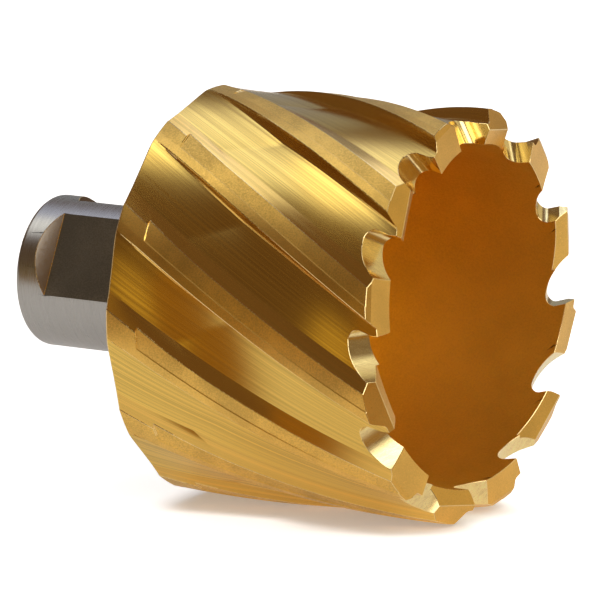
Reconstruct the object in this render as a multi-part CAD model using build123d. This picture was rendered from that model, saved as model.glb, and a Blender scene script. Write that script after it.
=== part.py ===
from build123d import *

import os
from math import cos, degrees, radians, sin, tan

# Annular cutter with a Weldon shank: one solid, in millimetres and degrees.
#
# The axis is +Z. The crests of the deep teeth stand on z = 0 and the shank points up.
# The cutter turns so that the cutting edges move towards smaller angles about +Z, and
# the flutes climb towards larger ones.

os.makedirs("parts", exist_ok=True)

# Driving dimensions of the body and the shank
CUT_D = 51.0  # outside diameter of the teeth and of the margins
WALL = 4.33  # from the outside of the teeth to the bore that clears the slug
DEPTH_OF_CUT = 30.0  # depth of the slug cavity
BACK_THICKNESS = 8.3  # of the solid end that carries the shank
SHANK_D = 19.05  # Weldon shank, 3/4 inch
SHANK_LENGTH = 24.0
PILOT_D = 6.35  # hole for the pilot pin, right through the shank
FLAT_DEPTH = 1.665  # of the two Weldon flats, below the round of the shank
FLAT_TO_END = 4.35  # round stretch that is left at the end of the shank
FLAT_RAMP = 45.0  # slope of the wall that closes each flat

# Teeth and flutes
TEETH = 12  # deep and wide teeth take turns
TOOTH_ANGLE = 8.05  # where the first deep tooth has its cutting edge, seen from +X
HELIX_ANGLE = 29.5  # at the outside diameter

# One land with its flute, as angles from the land's leading edge
LEAD_ANGLE = 2.65  # leading edge at z = 0, from the cutting edge of its own tooth
MARGIN_WIDTH = 3.1
LAND_WIDTH = 8.2
FOOT_ANGLE = 12.8  # foot of the wall behind the land
RELIEF_DEPTH = 0.15  # the land behind the margin is ground this much lower
RELIEF_TO_BACK = 4.5  # where that grinding stops, below the back face
FLUTE_DEPTH = 2.45
FLUTE_END_DEPTH = 0.4  # at the back face, beside the land's back wall
RUNOUT_LENGTH = 17.6  # over which the flute gets shallower
RUNOUT_TO_BACK = 0.7  # where its rake wall has risen to the surface
FLUTE_CORNER = 0.9

CHAMFER_BACK = 0.25
CHAMFER_CAVITY = 1.0
CHAMFER_SHANK = 0.6
CHAMFER_PILOT = 0.5

# Derived dimensions
R = CUT_D / 2
BORE_R = R - WALL
BODY_LENGTH = DEPTH_OF_CUT + BACK_THICKNESS
SHANK_TOP = BODY_LENGTH + SHANK_LENGTH
FLAT_OFFSET = SHANK_D / 2 - FLAT_DEPTH
FLAT_TOP = SHANK_TOP - FLAT_TO_END
RELIEF_TOP = BODY_LENGTH - RELIEF_TO_BACK
RUNOUT_END = BODY_LENGTH - RUNOUT_TO_BACK
PITCH = 360 / TEETH
TWIST = degrees(tan(radians(HELIX_ANGLE)) / R)  # degrees of turn for each mm of height

# The two ground facets of a tooth, each as a point (radius, height) beside the cutting
# edge, the angle at which it rises outwards, the angle at which it falls back, and the
# angle about the axis at which it ends
WIDE_TOOTH = [((BORE_R, 0.34), 5.9, 8.2, 28), ((R - 0.6, 0.605), 28.1, 12.7, 28)]
DEEP_TOOTH = [((R - 2.44, 0.0), 25.8, 12.1, 28), ((R - 2.44, 0.0), -22.2, 8.6, 19.4)]


def polar(radius, angle):
    """Point in the XY plane from a radius and an angle in degrees."""
    return Vector(radius * cos(radians(angle)), radius * sin(radians(angle)))


def blank():
    """Turned body and shank, hollow below, with the pilot hole through the middle."""
    on_base = (Align.CENTER, Align.CENTER, Align.MIN)
    body = Pos(0, 0, -2) * Cylinder(R, BODY_LENGTH + 2, align=on_base)
    body = chamfer(body.edges().sort_by(Axis.Z)[-1], CHAMFER_BACK)
    shank = Pos(0, 0, BODY_LENGTH - 1) * Cylinder(SHANK_D / 2, SHANK_LENGTH + 1, align=on_base)
    shank = chamfer(shank.edges().sort_by(Axis.Z)[-1], CHAMFER_SHANK)
    cavity = Pos(0, 0, -3) * Cylinder(BORE_R, DEPTH_OF_CUT + 3, align=on_base)
    cavity = chamfer(cavity.edges().sort_by(Axis.Z)[-1], CHAMFER_CAVITY)
    pilot = Cylinder(PILOT_D / 2, 3 * SHANK_TOP)
    pilot_mouth = Pos(0, 0, SHANK_TOP) * Cone(
        PILOT_D / 2, PILOT_D / 2 + 2 * CHAMFER_PILOT, 2 * CHAMFER_PILOT
    )
    return body + shank - cavity - pilot - pilot_mouth


def weldon_flats():
    """The two flats for the set screws, a quarter turn apart."""
    ramp = (SHANK_D / 2 + 1 - FLAT_OFFSET) / tan(radians(FLAT_RAMP))
    side = make_face(
        Polyline(
            (FLAT_OFFSET, BODY_LENGTH),
            (FLAT_OFFSET, FLAT_TOP),
            (SHANK_D / 2 + 1, FLAT_TOP + ramp),
            (SHANK_D / 2 + 1, BODY_LENGTH),
            close=True,
        )
    )
    flat = extrude(Plane.XZ * side, amount=SHANK_D, both=True)
    return [flat, Rot(0, 0, 90) * flat]


def flute_depth(z, end_depth):
    """Depth of the flute at height z: even, then running out smoothly to end_depth."""
    run = (RUNOUT_END - z) / RUNOUT_LENGTH
    if run >= 1:
        return FLUTE_DEPTH
    ease = 3 * run**2 - 2 * run**3 if run > 0 else 0.15 * run
    return end_depth + (FLUTE_DEPTH - end_depth) * ease


def flute_section(z):
    """Section of one flute at height z; the land in front of it leads at angle 0."""
    foot_r = R - flute_depth(z, FLUTE_END_DEPTH)
    rake_r = R - flute_depth(z, 0.0)
    outside = R + 2
    rear, foot = polar(R, LAND_WIDTH), polar(foot_r, FOOT_ANGLE)
    wall_top = rear + (rear - foot) * 0.35  # the wall runs on beyond the surface
    above = wall_top + wall_top.normalized() * 1.5
    corner = degrees(FLUTE_CORNER / R)
    outline = [
        Line(above, wall_top),
        Line(wall_top, foot),
        ThreePointArc(
            foot,
            polar((foot_r + rake_r) / 2, (FOOT_ANGLE + PITCH - corner) / 2),
            polar(rake_r, PITCH - corner),
        ),
        Line(polar(rake_r, PITCH - corner), polar(rake_r + FLUTE_CORNER, PITCH)),
        Line(polar(rake_r + FLUTE_CORNER, PITCH), polar(outside, PITCH)),
        Line(polar(outside, PITCH), above),
    ]
    return make_face(outline)


def relief_section(z):
    """Section of the strip ground off the land behind its margin."""
    inner, outer = R - RELIEF_DEPTH, R + 1
    rear = LAND_WIDTH + 0.6
    outline = [
        Line(polar(inner, MARGIN_WIDTH), polar(outer, MARGIN_WIDTH)),
        Line(polar(outer, MARGIN_WIDTH), polar(outer, rear)),
        Line(polar(outer, rear), polar(inner, rear)),
        ThreePointArc(
            polar(inner, rear),
            polar(inner, (rear + MARGIN_WIDTH) / 2),
            polar(inner, MARGIN_WIDTH),
        ),
    ]
    return make_face(outline)


def helical(section, bottom, top, steps):
    """Loft a section up the helix of the flutes."""
    heights = [bottom + (top - bottom) * i / steps for i in range(steps + 1)]
    start = TOOTH_ANGLE + LEAD_ANGLE
    return loft([Pos(0, 0, z) * Rot(0, 0, start + TWIST * z) * section(z) for z in heights])


def gullet():
    """Groove in front of the first tooth, rising outwards through the wall.

    The profile is seen along the radius through the cutting edge: the rake face on the
    right, the round bottom and the long slope to the back of the tooth before it.
    """
    rise, sidestep = 0.90, -0.10  # for each mm outwards
    beyond = 2.0  # how far the groove runs past the wall on both sides
    direction = Vector(1, sidestep, rise)
    profile = make_face(
        [
            Line((0.05, -4.5), (0.1, 0.2)),
            Line((0.1, 0.2), (0.6, 1.9)),
            ThreePointArc((0.6, 1.9), (0.36, 2.8), (-0.68, 3.26)),
            ThreePointArc((-0.68, 3.26), (-3.87, 2.1), (-5.95, -0.35)),
            Line((-5.95, -0.35), (-8.7, -4.5)),
            Line((-8.7, -4.5), (0.05, -4.5)),
        ]
    )
    start = Plane(origin=Vector(BORE_R, 0, 0) - direction * beyond, x_dir=(0, 1, 0), z_dir=(1, 0, 0))
    return extrude(start * profile, amount=(WALL + 2 * beyond) * direction.length, dir=direction)


def facet(point, slope, relief, end):
    """Everything below one ground facet of the first tooth.

    point is (radius, height) on the radius through the cutting edge; slope is the
    angle at which the facet rises outwards, relief the angle at which it falls back,
    and end the angle about the axis at which its grinding stops.
    """
    outwards, back = tan(radians(slope)), tan(radians(relief))
    plane = Plane(
        origin=(point[0], 0, point[1]), x_dir=(1, 0, outwards), z_dir=(-outwards, -back, 1)
    )
    below = plane * Box(4 * R, 4 * R, R, align=(Align.CENTER, Align.CENTER, Align.MAX))
    inner, outer, start = BORE_R - 3, R + 3, -2
    corners = [polar(inner, start), polar(outer, start), polar(outer, end), polar(inner, end)]
    sector = make_face(Polyline(*corners, close=True))
    return extrude(sector, amount=R / 2, both=True) & below


def build_cutter():
    cutter = blank()
    cutter = cutter - weldon_flats()
    flute = helical(flute_section, -3, BODY_LENGTH + 1, 14)
    relief = helical(relief_section, -3, RELIEF_TOP, 7)
    around = [Rot(0, 0, PITCH * k) for k in range(TEETH)]
    cutter = cutter - [turn * flute for turn in around]
    cutter = cutter - [turn * relief for turn in around]
    groove = gullet()
    cutter = cutter - [turn * Rot(0, 0, TOOTH_ANGLE) * groove for turn in around]
    for first, facets in ((0, DEEP_TOOTH), (1, WIDE_TOOTH)):
        for shape in (facet(*values) for values in facets):
            cutter = cutter - [
                turn * Rot(0, 0, TOOTH_ANGLE) * shape for turn in around[first::2]
            ]
    return cutter


cutter = build_cutter()
solids = cutter.solids()
cutter = solids[0] if len(solids) == 1 else cutter
cutter.label = "annular_cutter"
export_step(cutter, "parts/annular_cutter.step")
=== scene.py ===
# %% [markdown]
# # An annular cutter, gold-coated on the body and bare steel on the shank
# The cutter is a hollow core drill, made of one piece of steel. We could join a ring of teeth
# to a tube and a pin, but the real one has no seams. So one closed skin is drawn over the body,
# the shank and the bores first, and the grinding is then cut into it, as in the workshop.

# %% Tools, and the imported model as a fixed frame
from math import atan2, cos, degrees, hypot, radians, sin, tan

import bmesh
import bpy
from mathutils import Euler, Matrix, Vector


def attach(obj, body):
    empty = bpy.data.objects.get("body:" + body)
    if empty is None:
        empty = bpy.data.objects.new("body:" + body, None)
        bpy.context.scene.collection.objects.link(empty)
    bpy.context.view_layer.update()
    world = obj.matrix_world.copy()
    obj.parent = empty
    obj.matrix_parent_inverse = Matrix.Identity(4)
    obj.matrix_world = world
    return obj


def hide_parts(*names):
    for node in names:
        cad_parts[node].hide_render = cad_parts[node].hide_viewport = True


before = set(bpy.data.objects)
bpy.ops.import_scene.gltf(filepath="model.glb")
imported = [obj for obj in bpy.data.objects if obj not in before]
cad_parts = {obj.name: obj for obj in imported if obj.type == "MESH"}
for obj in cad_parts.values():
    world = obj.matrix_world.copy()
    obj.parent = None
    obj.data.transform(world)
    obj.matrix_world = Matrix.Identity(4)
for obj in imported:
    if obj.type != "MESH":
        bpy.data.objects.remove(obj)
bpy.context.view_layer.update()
MM = 0.001

# %% [markdown]
# ## Sizes
# All sizes are in millimetres and degrees, and become metres only when a vertex is made. The
# axis is z: the teeth stand on z = 0 and the shank points up. The angles of a land and its
# flute are counted from the land's leading edge, before the helix turns them.

# %% Sizes
R = 25.5
BORE_R = 21.17
BODY_LENGTH = 38.3
CAVITY = 30.0
SHANK_R = 9.525
SHANK_TOP = 62.3
PILOT_R = 3.175
TEETH = 12
PITCH = 360 / TEETH
TOOTH_ANGLE = 8.05  # of the first cutting edge
TWIST = degrees(tan(radians(29.5)) / R)  # degrees for each millimetre of height
LEAD = TOOTH_ANGLE + 2.65  # leading edge of the first land
BELOW = -1.5  # the body starts below the teeth, and the cuts take the rest away
print("pitch", PITCH, "degrees, twist", round(TWIST, 3), "degrees for each millimetre")

# %% [markdown]
# ## Shader helpers
# A material is a tree of nodes. Written out one by one, forty nodes are hard to read, so a few
# short helpers make a node and wire it in one line.

# %% Nodes and sums
def node(tree, kind, inputs=None, **props):
    """New shader node. inputs gives each input by name or number: a socket or a value."""
    made = tree.nodes.new(kind)
    for key, value in props.items():
        setattr(made, key, value)
    for key, value in (inputs or {}).items():
        if isinstance(value, bpy.types.NodeSocket):
            tree.links.new(value, made.inputs[key])
        else:
            made.inputs[key].default_value = value
    return made


def calc(tree, operation, a, b=0.0, c=0.0):
    return node(tree, "ShaderNodeMath", {0: a, 1: b, 2: c}, operation=operation).outputs[0]


def vector(tree, operation, a, b=(0, 0, 0)):
    made = node(tree, "ShaderNodeVectorMath", {0: a, 1: b}, operation=operation)
    return made.outputs["Value" if operation in ("DOT_PRODUCT", "LENGTH") else "Vector"]


def remap(tree, value, low, high, to_low=0.0, to_high=1.0):
    """Smooth step from low..high to to_low..to_high."""
    inputs = {"Value": value, "From Min": low, "From Max": high}
    inputs.update({"To Min": to_low, "To Max": to_high})
    made = node(tree, "ShaderNodeMapRange", inputs, interpolation_type="SMOOTHSTEP")
    return made.outputs["Result"]


# %% Mixing and noise
def mix(tree, factor, a, b):
    """Blend of two colours. The sockets 0, 6 and 7 are the factor and the two colours."""
    made = node(tree, "ShaderNodeMix", {0: factor}, data_type="RGBA")
    for index, value in ((6, a), (7, b)):
        if isinstance(value, bpy.types.NodeSocket):
            tree.links.new(value, made.inputs[index])
        else:
            made.inputs[index].default_value = value
    return made.outputs[2]


def noise(tree, coords, size, detail=2.0, roughness=0.5):
    """Noise whose features are about size millimetres, one number or one for each axis."""
    sizes = size if isinstance(size, tuple) else (size, size, size)
    scaled = vector(tree, "MULTIPLY", coords, tuple(1 / s for s in sizes))
    inputs = {"Vector": scaled, "Scale": 1.0, "Detail": detail, "Roughness": roughness}
    return node(tree, "ShaderNodeTexNoise", inputs).outputs["Fac"]


# %% [markdown]
# ## Coordinates that follow the grinding
# A wheel leaves its lines along the way it moved: up the helix in the flutes, and outwards in
# the gullets. An unwrapped picture could carry such lines. Here the coordinates of the object
# are bent instead, so that plain noise, stretched along one axis, runs the same way.

# %% Coordinates in millimetres
def straight(tree):
    """Object coordinates."""
    coords = node(tree, "ShaderNodeTexCoord").outputs["Object"]
    return vector(tree, "MULTIPLY", coords, (1 / MM,) * 3)


def untwisted(tree):
    """Object coordinates with the helix turned straight: the flutes run along z."""
    coords = straight(tree)
    z = node(tree, "ShaderNodeSeparateXYZ", {0: coords}).outputs["Z"]
    angle = calc(tree, "MULTIPLY", z, -radians(TWIST))
    inputs = {"Vector": coords, "Angle": angle}
    return node(tree, "ShaderNodeVectorRotate", inputs, rotation_type="Z_AXIS").outputs[0]


def along_flutes(tree):
    """Distance round the axis and height in the untwisted body, whatever the radius."""
    place = node(tree, "ShaderNodeSeparateXYZ", {0: untwisted(tree)}).outputs
    angle = calc(tree, "ARCTAN2", place["Y"], place["X"])
    inputs = {"X": calc(tree, "MULTIPLY", angle, R), "Z": place["Z"]}
    return node(tree, "ShaderNodeCombineXYZ", inputs).outputs[0]


GRIND_RISE = 0.9  # of the lines in the gullets, for each millimetre outwards


def along_gullets(tree):
    """Coordinates that stay the same along the lines in the gullets."""
    place = node(tree, "ShaderNodeSeparateXYZ", {0: straight(tree)}).outputs
    angle = calc(tree, "ARCTAN2", place["Y"], place["X"])
    radius = vector(tree, "LENGTH", vector(tree, "MULTIPLY", straight(tree), (1, 1, 0)))
    height = calc(tree, "MULTIPLY_ADD", radius, -GRIND_RISE, place["Z"])
    inputs = {"X": calc(tree, "MULTIPLY", angle, R), "Y": height}
    return node(tree, "ShaderNodeCombineXYZ", inputs).outputs[0]


# %% [markdown]
# ## Metal
# Every finish here is bare or coated metal, so each starts from the same shader with Metallic
# at 1. What tells them apart is the roughness, a little change of colour and a bump some
# thousandths of a millimetre deep.

# %% Plain metal, its tint and its bump
def metal(name, colour, roughness):
    material = bpy.data.materials.new(name)
    material.use_nodes = True
    bsdf = material.node_tree.nodes["Principled BSDF"]
    bsdf.inputs["Base Color"].default_value = (*colour, 1)
    bsdf.inputs["Metallic"].default_value = 1.0
    bsdf.inputs["Roughness"].default_value = roughness
    return material, material.node_tree, bsdf


def tint(tree, bsdf, colour, amount, value):
    """Make the colour darker and lighter by amount where value runs from 0 to 1."""
    dark = tuple(c * (1 - amount) for c in colour)
    light = tuple(min(1, c * (1 + amount)) for c in colour)
    tree.links.new(mix(tree, value, (*dark, 1), (*light, 1)), bsdf.inputs["Base Color"])


def bump(tree, bsdf, height, depth):
    """Bump of a height from 0 to 1 that is depth millimetres deep."""
    inputs = {"Height": height, "Distance": depth * MM, "Strength": 1.0}
    tree.links.new(node(tree, "ShaderNodeBump", inputs).outputs[0], bsdf.inputs["Normal"])


# %% Three kinds of surface: ground, mottled and turned
def ground(name, colour, roughness, coords, across, along, depth, amount):
    """Metal ground in lines that run along z of the given coordinates."""
    material, tree, bsdf = metal(name, colour, roughness)
    place = coords(tree)
    fine = noise(tree, place, (across, across, along), 3.0, 0.6)
    wide = noise(tree, place, (across * 5, across * 5, along * 1.6), 2.0, 0.5)
    lines = calc(tree, "MULTIPLY_ADD", wide, 0.45, calc(tree, "MULTIPLY", fine, 0.55))
    value = remap(tree, lines, 0.3, 0.7)
    tint(tree, bsdf, colour, amount, value)
    rough = remap(tree, value, 0, 1, roughness * 1.25, roughness * 0.8)
    tree.links.new(rough, bsdf.inputs["Roughness"])
    bump(tree, bsdf, lines, depth)
    return material


def mottled(name, colour, roughness, size, depth, amount):
    """Satin metal with a fine grain and no direction."""
    material, tree, bsdf = metal(name, colour, roughness)
    place = straight(tree)
    grains = noise(tree, place, size, 3.0, 0.65)
    clouds = noise(tree, place, 6.0, 2.0)
    both = calc(tree, "MULTIPLY_ADD", clouds, 0.5, calc(tree, "MULTIPLY", grains, 0.5))
    tint(tree, bsdf, colour, amount, remap(tree, both, 0.35, 0.65))
    rough = remap(tree, grains, 0.3, 0.7, roughness * 1.2, roughness * 0.8)
    tree.links.new(rough, bsdf.inputs["Roughness"])
    bump(tree, bsdf, grains, depth)
    return material


def turned_metal(name, colour, roughness, pitch, depth, amount):
    """Metal with fine lines round the axis."""
    material, tree, bsdf = metal(name, colour, roughness)
    fine = noise(tree, straight(tree), (9.0, 9.0, pitch), 3.0, 0.6)
    tint(tree, bsdf, colour, amount, remap(tree, fine, 0.3, 0.7))
    rough = remap(tree, fine, 0.3, 0.7, roughness * 1.2, roughness * 0.85)
    tree.links.new(rough, bsdf.inputs["Roughness"])
    bump(tree, bsdf, fine, depth)
    return material


# %% [markdown]
# ## The finishes of this cutter
# The coating is one colour, but each ground face shows it differently: the flutes shine in lines,
# the land's lowered strip is matt, and the worn edges are a lighter gold, a painted highlight. Each
# face carries the number of its finish, and the numbers survive the cuts because every tool has the
# same list.

# %% Colours and finishes
GOLD_COLOUR = (0.84, 0.53, 0.125)
BORE_COLOUR = (0.80, 0.48, 0.06)
BRIGHT_COLOUR = (0.95, 0.72, 0.33)
TOOTH_COLOUR = (0.78, 0.46, 0.10)
STEEL_COLOUR = (0.43, 0.415, 0.385)
FLAT_COLOUR = (0.24, 0.23, 0.19)
RAMP_COLOUR = (0.34, 0.29, 0.23)

MARGIN_FACE, RELIEF, WALL, FLOOR, BORE, GULLET, FACET, STEEL, FLAT, RAMP, WORN_EDGE_HIGHLIGHT = range(11)
MATERIALS = [
    mottled("margin", GOLD_COLOUR, 0.36, 0.20, 0.004, 0.16),
    mottled("relief", GOLD_COLOUR, 0.42, 0.20, 0.012, 0.22),
    ground("land_wall", GOLD_COLOUR, 0.20, along_flutes, 0.10, 60.0, 0.002, 0.12),
    ground("flute", GOLD_COLOUR, 0.18, along_flutes, 0.07, 60.0, 0.004, 0.30),
    mottled("bore", BORE_COLOUR, 0.55, 0.25, 0.003, 0.06),
    ground("gullet", BRIGHT_COLOUR, 0.20, along_gullets, 0.10, 60.0, 0.004, 0.16),
    mottled("tooth", TOOTH_COLOUR, 0.34, 0.20, 0.003, 0.10),
    turned_metal("shank", STEEL_COLOUR, 0.28, 0.04, 0.0006, 0.03),
    mottled("shank_flat", FLAT_COLOUR, 0.45, 0.2, 0.006, 0.22),
    mottled("shank_ramp", RAMP_COLOUR, 0.16, 0.3, 0.001, 0.08),
    # lighter gold of the worn edges: a painted highlight on the wear bevel
    mottled("edge", BRIGHT_COLOUR, 0.25, 0.3, 0.001, 0.10),
]
print("finishes:", ", ".join(material.name for material in MATERIALS))

# %% [markdown]
# ## The flute's floor
# The floor of a flute is flat across. From a crease on, which runs slantwise over it, the floor
# rises to the back until the flute ends beside the land. A soft curve would be easier, but the
# real crease is sharp, so the rows of the mesh are bent until one of them follows it.

# %% Points and steps
def polar(r, angle):
    return Vector((r * cos(radians(angle)), r * sin(radians(angle))))


def angle_of(point):
    return degrees(atan2(point.y, point.x))


def spaced(a, b, n):
    """n steps from a to b, with a and without b."""
    return [a + (b - a) * i / n for i in range(n)]


def lerp(pair, t):
    return pair[0] + (pair[1] - pair[0]) * t


# %% The floor, from its foot behind the land (t = 0) to the rake wall (t = 1)
FOOT = 12.4  # angle of the foot of the land's back wall
FLOOR_DEPTH = (1.2, 1.65)
CREASE = (29.0, 21.65)  # height at which the floor starts to rise
RISE = (0.086, 0.105)  # for each millimetre of height
FOOT_SHIFT = 1.1  # angle by which the foot moves back for each millimetre of rise
CREASE_FROM, CREASE_ROW, CREASE_TO = 12.0, 25.0, 37.2  # rows that bend to the crease
RAKE_LEAN = 1.5  # angle that the foot of the rake wall is ahead of its top
RAKE_FILLET = 0.16


def floor_point(t, z):
    """Radius and angle of a point of the floor, untwisted."""
    foot = polar(R - FLOOR_DEPTH[0], FOOT)
    rake = polar(R - FLOOR_DEPTH[1], PITCH - RAKE_LEAN - degrees(RAKE_FILLET / R))
    point = foot.lerp(rake, t)
    rise = lerp(RISE, t) * max(0, z - lerp(CREASE, t))
    lean = RAKE_LEAN * t**4 * min(1, rise / FLOOR_DEPTH[1])
    return min(R, point.length + rise), angle_of(point) + lean + FOOT_SHIFT * rise * (1 - t)


def floor_height(z, t):
    """Height of the row z in the floor, so that one row follows the crease."""
    knots = [(CREASE_FROM, CREASE_FROM), (CREASE_ROW, lerp(CREASE, t)), (CREASE_TO, CREASE_TO)]
    for (z0, h0), (z1, h1) in zip(knots, knots[1:]):
        if z0 < z < z1:
            return h0 + (h1 - h0) * (z - z0) / (z1 - z0)
        if abs(z - z1) < 1e-6:
            return h1
    return z


print("floor at the back, beside the land:", [round(v, 2) for v in floor_point(0, BODY_LENGTH)])

# %% [markdown]
# ## One pitch of the outline
# A land is a narrow margin at full size, then a strip ground a little lower, then a wall that
# slants down to the flute. The flute's floor leads to the steep rake wall of the next land.

# %% One pitch, from a land's leading edge to the next
MARGIN, LAND = 3.1, 7.45  # angles at which the margin and the land end
MARGIN_STEP = 0.36  # angle over which the ground strip starts
RELIEF_DEPTH, RELIEF_TOP = 0.14, 33.8
RELIEF_FALL = 0.10  # how much lower the strip is at its back than behind the margin
EDGE = 0.06  # width of the worn edges of a land


def section(z):
    """Row z of one pitch: (radius, angle, height, finish of the face after it)."""
    edge_angle = degrees(EDGE / R)
    relief, fall = (RELIEF_DEPTH, RELIEF_FALL) if z <= RELIEF_TOP else (0, 0)
    foot_z, rake_z = floor_height(z, 0), floor_height(z, 1)
    rake_foot, rake_angle = floor_point(1, rake_z)
    rake = R - rake_foot
    edge = min(EDGE, 0.2 * rake)

    row = [(R - edge, 0, z, WALL)]
    row += [(R, a, z, MARGIN_FACE) for a in spaced(edge_angle, MARGIN, 4)]
    row.append((R, MARGIN, z, RELIEF))

    top, foot = polar(R, LAND), polar(*floor_point(0, foot_z))
    low = (relief + fall / 2 + 0.8 * EDGE) / (R - foot.length)
    rear = angle_of(top.lerp(foot, low)) - 0.7 * edge_angle
    for t in spaced(0, 1, 6):
        depth = relief + fall * (t - 0.5)
        row.append((R - depth, lerp((MARGIN + MARGIN_STEP, rear), t), z, RELIEF))
    row.append((R - relief - fall / 2, rear, z, WALL))
    for t in spaced(0, 1, 8):
        p = top.lerp(foot, lerp((low, 1), t))
        row.append((p.length, angle_of(p), lerp((z, foot_z), t), WALL))

    for t in spaced(0, 1, 16):
        height = floor_height(z, t)
        row.append((*floor_point(t, height), height, FLOOR))
    row.append((rake_foot, rake_angle, rake_z, WALL))
    fillet = min(RAKE_FILLET, 0.3 * rake)
    for t in spaced(0, 1, 6):
        depth = lerp((rake - fillet, edge), t)
        angle = PITCH - RAKE_LEAN * depth / FLOOR_DEPTH[1]
        row.append((R - depth, angle, lerp((rake_z, z), t), WALL))
    return row


print("points in one pitch:", len(section(0)))

# %% [markdown]
# ## The rows of the skin
# The skin is a stack of rings with as many points each. The fluted rings climb the body. Then
# plain rings go in over the back, up the shank, down the pilot hole and the bore, back to the
# start. Twelve pitches make a ring, and the helix turns each point by its own height.

# %% Fluted rings
BACK_CHAMFER = 0.25


def fluted_rings():
    heights = spaced(BELOW, 25, 44) + spaced(25, RELIEF_TOP, 18) + [RELIEF_TOP, 33.95]
    heights += spaced(34.3, BODY_LENGTH - BACK_CHAMFER, 12) + [BODY_LENGTH - BACK_CHAMFER]
    for z in heights:
        pitch = section(z)
        points = []
        for k in range(TEETH):
            for r, a, h, _ in pitch:
                p = polar(r, a + LEAD + PITCH * k + TWIST * h)
                points.append(Vector((p.x, p.y, h)))
        yield points, [finish for *_, finish in pitch] * TEETH


# %% Plain rings: (radius, height, finish of the faces after it, share of the flutes' shape)
BORE_CORNER = 1.0
SHANK_FOOT = 0.12
SHANK_ROUND = 0.6


def plain_rings():
    rings = [
        (R - BACK_CHAMFER, BODY_LENGTH, MARGIN_FACE, 1.0),
        (18, BODY_LENGTH, MARGIN_FACE, 0.4),
        (13, BODY_LENGTH, MARGIN_FACE, 0),
        (SHANK_R + 0.15, BODY_LENGTH, STEEL, 0),
        (SHANK_R, BODY_LENGTH + SHANK_FOOT, STEEL, 0),
    ]
    for z in spaced(BODY_LENGTH + SHANK_FOOT, SHANK_TOP - SHANK_ROUND, 10)[1:]:
        rings.append((SHANK_R, z, STEEL, 0))
    for t in (radians(90 * i / 4) for i in range(5)):
        r, z = SHANK_R - SHANK_ROUND + SHANK_ROUND * cos(t), SHANK_TOP - SHANK_ROUND
        rings.append((r, z + SHANK_ROUND * sin(t), STEEL, 0))
    rings += [
        (6, SHANK_TOP, STEEL, 0),
        (PILOT_R + 0.5, SHANK_TOP, STEEL, 0),
        (PILOT_R, SHANK_TOP - 0.5, STEEL, 0),
        (PILOT_R, SHANK_TOP - 12, STEEL, 0),
        (PILOT_R, CAVITY + 4, BORE, 0),
        (PILOT_R, CAVITY, BORE, 0),
        (10, CAVITY, BORE, 0),
        (BORE_R - BORE_CORNER, CAVITY, BORE, 0),
    ]
    rings += [(BORE_R, z, BORE, 0) for z in spaced(CAVITY - BORE_CORNER, BELOW, 24)]
    return rings + [(BORE_R, BELOW, BORE, 0)]


print("plain rings:", len(plain_rings()))

# %% [markdown]
# ## The skin, ring by ring
# Blender could bridge all the rings at once, but then it is hard to say which face is a flute
# and which a wall. Here the edges of a ring are extruded, and the new vertices are moved to
# their places. Each vertex remembers its column in a layer of whole numbers, which the
# extrusion copies, so the place and the finish come from the column.

# %% Helpers for the pieces
def parts_of(geometry, kind):
    return [part for part in geometry if isinstance(part, kind)]


def make_object(name, bm):
    """Object with outward faces and the cutter's finishes, from a bmesh."""
    bmesh.ops.recalc_face_normals(bm, faces=bm.faces)
    open_edges = sum(not edge.is_manifold for edge in bm.edges)
    print(f"{name}: {len(bm.faces)} faces, {open_edges} open edges")
    mesh = bpy.data.meshes.new(name)
    bm.normal_update()
    bm.to_mesh(mesh)
    bm.free()
    obj = bpy.data.objects.new(name, mesh)
    bpy.context.scene.collection.objects.link(obj)
    for material in MATERIALS:
        mesh.materials.append(material)
    return obj


# %% Body, shank and bores in one skin
def all_rings():
    """Every ring in turn: the fluted ones, then the plain ones on the same columns."""
    rings = list(fluted_rings())
    last = rings[-1][0]
    rings[-1] = (last, [MARGIN_FACE] * len(last))
    for radius, z, finish, share in plain_rings():
        back = radians(TWIST * min(0, z - (BODY_LENGTH - BACK_CHAMFER)))
        points = []
        for p in last:
            r, a = radius + share * (hypot(p.x, p.y) - R), atan2(p.y, p.x) + back
            points.append(Vector((r * cos(a), r * sin(a), z)))
        rings.append((points, [finish] * len(last)))
    return rings


def build_body():
    rings = all_rings()
    bm = bmesh.new()
    column = bm.verts.layers.int.new("column")
    verts = [bm.verts.new(p * MM) for p in rings[0][0]]
    for number, vert in enumerate(verts):
        vert[column] = number
    first = [bm.edges.new(pair) for pair in zip(verts, verts[1:] + verts[:1])]
    edges = first
    for (_, finishes), (points, _) in zip(rings, rings[1:]):
        made = bmesh.ops.extrude_edge_only(bm, edges=edges)["geom"]
        for vert in parts_of(made, bmesh.types.BMVert):
            vert.co = points[vert[column]] * MM
        edges = [e for e in parts_of(made, bmesh.types.BMEdge) if e.is_boundary]
        for edge in edges:
            a, b = sorted(vert[column] for vert in edge.verts)
            edge.link_faces[0].material_index = finishes[a if b == a + 1 else b]
    for face in bmesh.ops.bridge_loops(bm, edges=first + edges)["faces"]:
        face.material_index = BORE
    for face in bm.faces:
        face.smooth = True
    bmesh.ops.remove_doubles(bm, verts=bm.verts, dist=1e-7)
    return make_object("cutter", bm)


cutter = build_body()

# %% [markdown]
# ## The gullets
# In front of each tooth a wheel has ground a round scoop, which rises outwards through the
# wall. It could be modelled into the skin, but it crosses lands and flutes at every angle. So
# its profile is extruded to a bar, and the bar is cut away, as the wheel did it.

# %% The bar of one gullet, turned to its tooth
def arc(p, q, s, steps):
    """Points from p to s on the circle through p, q and s, without s."""
    b, c = q - p, s - p
    bb, cc, d = b.length_squared, c.length_squared, 2 * (b.x * c.y - b.y * c.x)
    centre = p + Vector(((c.y * bb - b.y * cc) / d, (b.x * cc - c.x * bb) / d))
    start, middle, end = p - centre, q - centre, s - centre
    angle = sum(atan2(u.x * v.y - u.y * v.x, u.dot(v)) for u, v in ((start, middle), (middle, end)))
    return [centre + Matrix.Rotation(angle * i / steps, 2) @ start for i in range(steps)]


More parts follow.
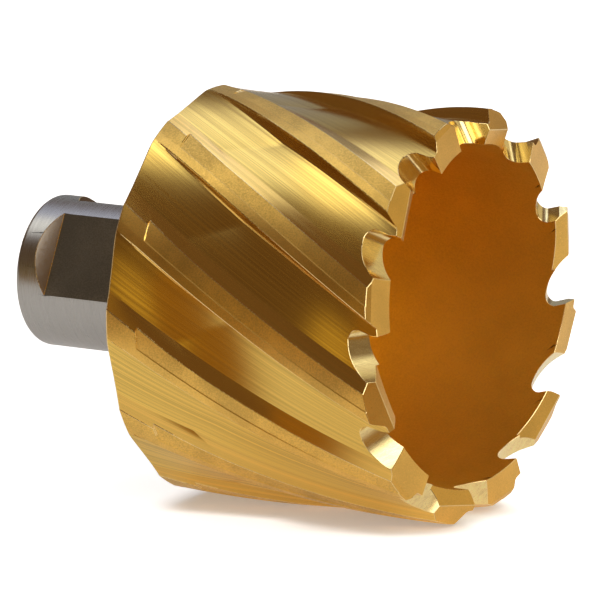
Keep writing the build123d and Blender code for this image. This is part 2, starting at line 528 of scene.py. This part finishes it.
def bar(bm, points, along, angle):
    """Closed bar: a face through the points, extruded along a vector and turned about z."""
    verts = [bm.verts.new(p * MM) for p in points]
    face = bm.faces.new(verts)
    made = bmesh.ops.extrude_face_region(bm, geom=[face])["geom"]
    moved = parts_of(made, bmesh.types.BMVert)
    bmesh.ops.translate(bm, verts=moved, vec=along * MM)
    turn = Matrix.Rotation(radians(angle), 3, "Z")
    bmesh.ops.rotate(bm, verts=verts + moved, cent=(0, 0, 0), matrix=turn)


# %% Twelve gullets
GULLET_RISE, GULLET_SIDE = 0.50, -0.10  # for each millimetre outwards
GULLET_START, GULLET_LENGTH = -2.0, 8.5  # from the bore outwards


def gullets():
    profile = [Vector((0.05, -4.5)), Vector((0.1, 0.2))]
    round_end, slope_start = Vector((-0.68, 3.26)), Vector((-5.95, -0.35))
    profile += arc(Vector((0.6, 1.9)), Vector((0.36, 2.8)), round_end, 24)
    profile += arc(round_end, Vector((-3.87, 2.1)), slope_start, 24)
    profile += [slope_start, Vector((-8.7, -4.5))]
    outwards = Vector((1, GULLET_SIDE, GULLET_RISE))
    start = Vector((BORE_R, 0, 0)) + GULLET_START * outwards
    points = [start + Vector((0, p.x, p.y)) for p in profile]
    bm = bmesh.new()
    for k in range(TEETH):
        bar(bm, points, GULLET_LENGTH * outwards, TOOTH_ANGLE + PITCH * k)
    for face in bm.faces:
        face.material_index = GULLET
        face.smooth = True
    return make_object("gullets", bm)


def cut(obj, tool):
    """Take the tool away from the object for good."""
    mod = obj.modifiers.new("cut", "BOOLEAN")
    mod.operation = "DIFFERENCE"
    mod.object = tool
    mod.solver = "EXACT"
    graph = bpy.context.evaluated_depsgraph_get()
    mesh = bpy.data.meshes.new_from_object(obj.evaluated_get(graph))
    obj.modifiers.clear()
    obj.data = mesh
    bpy.data.objects.remove(tool)


cut(cutter, gullets())
print("faces after the gullets:", len(cutter.data.polygons))

# %% [markdown]
# ## The teeth
# Each tooth is ground with two facets that meet in a crest. Deep teeth have the crest in the
# middle of the wall and wide ones near the outside, and they take turns so that each cuts a
# part of the groove. A strip of two faces is laid on the facets and extruded down to a block.

# %% Blocks below the facets
# Each facet: a point (radius, height), the slope outwards and the slope backwards
WIDE = [((BORE_R, 0.34), 5.9, 8.2), ((24.9, 0.605), 28.1, 12.7)]
DEEP = [((23.06, 0.0), -22.2, 8.6), ((23.06, 0.0), 25.8, 12.1)]
FACET_START, FACET_END = -0.8, 19.4  # millimetres before the edge, degrees behind it
FACET_INNER, FACET_OUTER, FACET_BOTTOM = 18.0, 28.0, -4.0


def facet_rows(facets):
    """Front and rear row of three points: inner side, crest and outer side."""
    planes = []
    for (radius, height), slope, relief in facets:
        outwards, back = tan(radians(slope)), tan(radians(relief))
        planes.append((height - outwards * radius, outwards, back))
    (h1, a1, c1), (h2, a2, c2) = planes
    behind = tan(radians(FACET_END))

    def crest(y):
        return ((h2 + c2 * y) - (h1 + c1 * y)) / (a1 - a2)

    crest_rear = 22.5
    for _ in range(20):  # the rear end lies on a ray, so its crest is found step by step
        y_rear = behind * crest_rear if _ else 7.0
        crest_rear = crest(y_rear)
    crest_y = behind * crest_rear
    front = [(FACET_INNER, FACET_START), (crest(FACET_START), FACET_START)]
    front.append((FACET_OUTER, FACET_START))
    rear = [(FACET_INNER, behind * FACET_INNER), (crest_rear, crest_y)]
    rear.append((FACET_OUTER, behind * FACET_OUTER))
    rows = []
    for row in (front, rear):
        points = [Vector((x, y, h1 + a1 * x + c1 * y)) for x, y in row[:2]]
        x, y = row[2]
        rows.append(points + [Vector((x, y, h2 + a2 * x + c2 * y))])
    return rows


def tooth_facets():
    bm = bmesh.new()
    for k in range(TEETH):
        front, rear = facet_rows((DEEP, WIDE)[k % 2])
        near, far = ([bm.verts.new(p * MM) for p in row] for row in (front, rear))
        faces = [bm.faces.new((near[i], near[i + 1], far[i + 1], far[i])) for i in (0, 1)]
        made = bmesh.ops.extrude_face_region(bm, geom=faces)["geom"]
        low = parts_of(made, bmesh.types.BMVert)
        for vert in low:
            vert.co.z = FACET_BOTTOM * MM
        turn = Matrix.Rotation(radians(TOOTH_ANGLE + PITCH * k), 3, "Z")
        bmesh.ops.rotate(bm, verts=near + far + low, cent=(0, 0, 0), matrix=turn)
    for face in bm.faces:
        face.material_index = FACET
    return make_object("facets", bm)


cut(cutter, tooth_facets())
print("faces after the teeth:", len(cutter.data.polygons))

# %% [markdown]
# ## The flats on the shank
# Two set screws hold the cutter by two flats, a quarter turn apart. A cutter wheel leaves a
# sloping wall at the end of each. One bar with a slanted end makes flat and wall in one cut.

# %% Two flats
FLAT_OFFSET = 7.86
FLAT_END = BODY_LENGTH + 19.65
FLAT_CUT = 3.0  # how far the bar reaches outwards, and its end upwards
FLAT_HALF = 12  # half the width of the bar


def flats():
    start = BODY_LENGTH + 0.001
    side = [(FLAT_OFFSET, start), (FLAT_OFFSET, FLAT_END)]
    side += [(FLAT_OFFSET + FLAT_CUT, FLAT_END + FLAT_CUT), (FLAT_OFFSET + FLAT_CUT, start)]
    points = [Vector((x, -FLAT_HALF, z)) for x, z in side]
    bm = bmesh.new()
    for angle in (0, 90):
        bar(bm, points, Vector((0, 2 * FLAT_HALF, 0)), angle)
    bm.normal_update()
    for face in bm.faces:
        slanted = 0.5 < abs(face.normal.z) < 0.9
        face.material_index = RAMP if slanted else FLAT
    return make_object("flats", bm)


cut(cutter, flats())
print("faces after the flats:", len(cutter.data.polygons))

# %% [markdown]
# ## Worn edges, with a painted highlight
# No edge of a used cutter is perfectly sharp, so a bevel a twentieth of a millimetre wide runs
# along the sharp edges and catches the light there. Its finish of its own is a lighter gold than
# the coating: a painted highlight.

# %% Wear bevel with its painted highlight, smooth shading and the place in the frame
WEAR_WIDTH, WEAR_ANGLE = 0.05, 38
SHARP_ANGLE = 6.5

# The bevel is real wear; its finish is a lighter gold, a painted highlight.
wear_and_highlight = cutter.modifiers.new("wear_and_highlight", "BEVEL")
wear_and_highlight.width, wear_and_highlight.segments, wear_and_highlight.material = WEAR_WIDTH * MM, 1, WORN_EDGE_HIGHLIGHT
wear_and_highlight.limit_method, wear_and_highlight.angle_limit = "ANGLE", radians(WEAR_ANGLE)
wear_and_highlight.use_clamp_overlap = False
graph = bpy.context.evaluated_depsgraph_get()
cutter.data = bpy.data.meshes.new_from_object(cutter.evaluated_get(graph))
cutter.modifiers.clear()
cutter.data.set_sharp_from_angle(angle=radians(SHARP_ANGLE))
print("faces of the cutter:", len(cutter.data.polygons))

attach(cutter, "root")
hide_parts("annular_cutter")

# %% [markdown]
# ## Camera
# The photograph sees the cutter lying on its side, from the teeth, through a long lens. The
# cutter itself stays upright in its frame, so the camera is turned instead.

# %% Camera, and directions as it sees them
camera_data = bpy.data.cameras.new("camera")
camera_data.lens, camera_data.sensor_width = 437.754, 36
camera_data.clip_start, camera_data.clip_end = 0.05, 20
camera = bpy.data.objects.new("camera", camera_data)
bpy.context.scene.collection.objects.link(camera)
camera.location = Vector((750.875, -179.918, -441.613)) * MM
camera.rotation_euler = Euler([radians(v) for v in (169.31224, 58.17922, 154.02796)])
bpy.context.scene.camera = camera
VIEW = camera.rotation_euler.to_matrix()
UP = Vector((cos(radians(64.02)), sin(radians(64.02)), 0))  # away from the floor


def aim(azimuth, elevation):
    """Direction seen from the cutter: 0, 0 is towards the camera, + is right and up."""
    a, e = radians(azimuth), radians(elevation)
    return VIEW @ Vector((sin(a) * cos(e), sin(e), cos(a) * cos(e)))


print("camera's distance in millimetres:", round(camera.location.length / MM))

# %% [markdown]
# ## Floor
# The floor is white. Beyond a line in front of the cutter, only the metal's reflections see it
# brown: a painted dark reflection, which the camera doesn't see.
# A stronger lamp would make it white but wash out the gold. So it glows for the camera
# instead, except close to the cutter, where an occlusion node leaves a contact shadow.

# %% Floor and its painted dark reflection
FLOOR_GLOW = 0.78
METAL_GLOW = 0.24  # glow that metal shows: the real floor is less white than its picture
CONTACT = 5.0  # millimetres from the cutter in which its contact shadow fades
DARK_REFLECTION_START = 46  # millimetres from the cutter to where the painted dark reflection starts
DARK_REFLECTION_BLUR = 12
# brown that metal sees on the floor beyond that line: a painted dark reflection
DARK_REFLECTION_COLOUR = (0.45, 0.24, 0.05)
MIDDLE = Vector((0, 0, 20))  # height of the cutter over which the sheet is centred


def floor_material():
    """Seen from above only, so that it doesn't hide the cutter from other sides."""
    material = bpy.data.materials.new("floor")
    material.use_nodes = True
    tree = material.node_tree
    bsdf = tree.nodes["Principled BSDF"]
    bsdf.inputs["Roughness"].default_value = 0.9
    bsdf.inputs["Specular IOR Level"].default_value = 0.0
    path = node(tree, "ShaderNodeLightPath")
    glossy = path.outputs["Is Glossy Ray"]
    nearer = vector(tree, "DOT_PRODUCT", straight(tree), tuple(aim(0, 0)))
    front = DARK_REFLECTION_START + aim(0, 0).dot(UP * -R + MIDDLE)
    beyond = remap(tree, nearer, front - DARK_REFLECTION_BLUR, front + DARK_REFLECTION_BLUR)
    # Painted dark reflection: beyond the line, glossy rays see the floor brown instead of white
    dark_reflection = calc(tree, "MULTIPLY", beyond, glossy)
    colour = mix(tree, dark_reflection, (0.9, 0.9, 0.9, 1), (*DARK_REFLECTION_COLOUR, 1))
    tree.links.new(colour, bsdf.inputs["Base Color"])
    seen = calc(tree, "MAXIMUM", path.outputs["Is Camera Ray"], path.outputs["Is Transmission Ray"])
    nearby = node(tree, "ShaderNodeAmbientOcclusion", {"Distance": CONTACT * MM}).outputs["AO"]
    lit = remap(tree, nearby, 0.4, 0.95, 0.3, 1.0)
    share = calc(tree, "MULTIPLY", calc(tree, "SUBTRACT", glossy, dark_reflection), METAL_GLOW)
    glow = calc(tree, "MULTIPLY_ADD", calc(tree, "MULTIPLY", seen, lit), FLOOR_GLOW, share)
    bsdf.inputs["Emission Color"].default_value = (1, 1, 1, 1)
    tree.links.new(glow, bsdf.inputs["Emission Strength"])
    behind = node(tree, "ShaderNodeNewGeometry").outputs["Backfacing"]
    clear = node(tree, "ShaderNodeBsdfTransparent")
    shaders = {0: behind, 1: bsdf.outputs[0], 2: clear.outputs[0]}
    both = node(tree, "ShaderNodeMixShader", shaders)
    tree.links.new(both.outputs[0], tree.nodes["Material Output"].inputs["Surface"])
    return material


# %% One face under the cutter
FLOOR_HALF = 1.2  # metres


def floor_plane():
    across, along = Vector((0, 0, 1)), UP.cross(Vector((0, 0, 1)))
    bm = bmesh.new()
    for a, b in ((-1, -1), (-1, 1), (1, 1), (1, -1)):
        bm.verts.new(UP * (-R * MM) + across * (a * FLOOR_HALF) + along * (b * FLOOR_HALF))
    face = bm.faces.new(bm.verts)
    face.normal_update()
    if face.normal.dot(UP) < 0:
        face.normal_flip()
    mesh = bpy.data.meshes.new("floor")
    bm.to_mesh(mesh)
    bm.free()
    floor = bpy.data.objects.new("floor", mesh)
    bpy.context.scene.collection.objects.link(floor)
    mesh.materials.append(floor_material())
    print("floor:", 2 * FLOOR_HALF, "metres wide,", R, "mm below the axis")


floor_plane()

# %% [markdown]
# ## Light
# Polished metal looks like what it mirrors, so lamps alone leave it dull. The sky is painted
# with softboxes in a dim warm room, each a polygon of directions with a soft edge. The camera
# itself sees plain white there.

# %% Softboxes: azimuth and elevation of the corners, colour, strength
SOFTBOXES = [
    (((-70, 41), (136, 46), (162, 35)), (1.0, 1.1, 1.4), 1.25),
    (((-114, 46), (-74, 43), (-79, 61), (-118, 66)), (1.0, 1.0, 0.97), 2.0),
    (((67, -14), (143, -14), (143, 52), (67, 56)), (1.0, 0.86, 0.62), 0.62),
    (((31, 26), (65, 26), (70, 68), (28, 68)), (1.0, 0.97, 0.9), 1.3),
    (((-2, -36), (42, -36), (42, 42), (-2, 40)), (1.0, 0.98, 0.95), 2.6),
    (((-60, -18), (-43, -18), (-43, 8), (-60, 4)), (1.0, 0.70, 0.2), 0.55),
    (((164, 4), (196, 4), (196, 40), (164, 40)), (1.0, 1.0, 1.0), 0.28),
]
ROOM = (0.140, 0.082, 0.042)
SOFT_EDGE = 0.07


def softbox(tree, direction, corners):
    """1 where the direction is inside the polygon of corners on the sky, and 0 elsewhere."""
    corners = [aim(*corner) for corner in corners]
    middle = sum(corners, Vector())
    mask = 1.0
    for a, b in zip(corners, corners[1:] + corners[:1]):
        inwards = a.cross(b).normalized()
        if inwards.dot(middle) < 0:
            inwards.negate()
        side = vector(tree, "DOT_PRODUCT", direction, tuple(inwards))
        mask = calc(tree, "MULTIPLY", mask, remap(tree, side, -SOFT_EDGE, SOFT_EDGE))
    return mask


# %% World
world = bpy.data.worlds.new("studio")
bpy.context.scene.world = world
world.use_nodes = True
tree = world.node_tree
direction = node(tree, "ShaderNodeTexCoord").outputs["Generated"]
light = (*ROOM, 1)
for corners, colour, strength in SOFTBOXES:
    mask = softbox(tree, direction, corners)
    light = mix(tree, mask, light, (*(c * strength for c in colour), 1))
path = node(tree, "ShaderNodeLightPath")
seen = calc(tree, "MAXIMUM", path.outputs["Is Camera Ray"], path.outputs["Is Transmission Ray"])
light = mix(tree, seen, light, (1, 1, 1, 1))
tree.links.new(light, tree.nodes["Background"].inputs["Color"])
bpy.context.scene.view_settings.view_transform = "Standard"
print("softboxes:", len(SOFTBOXES))
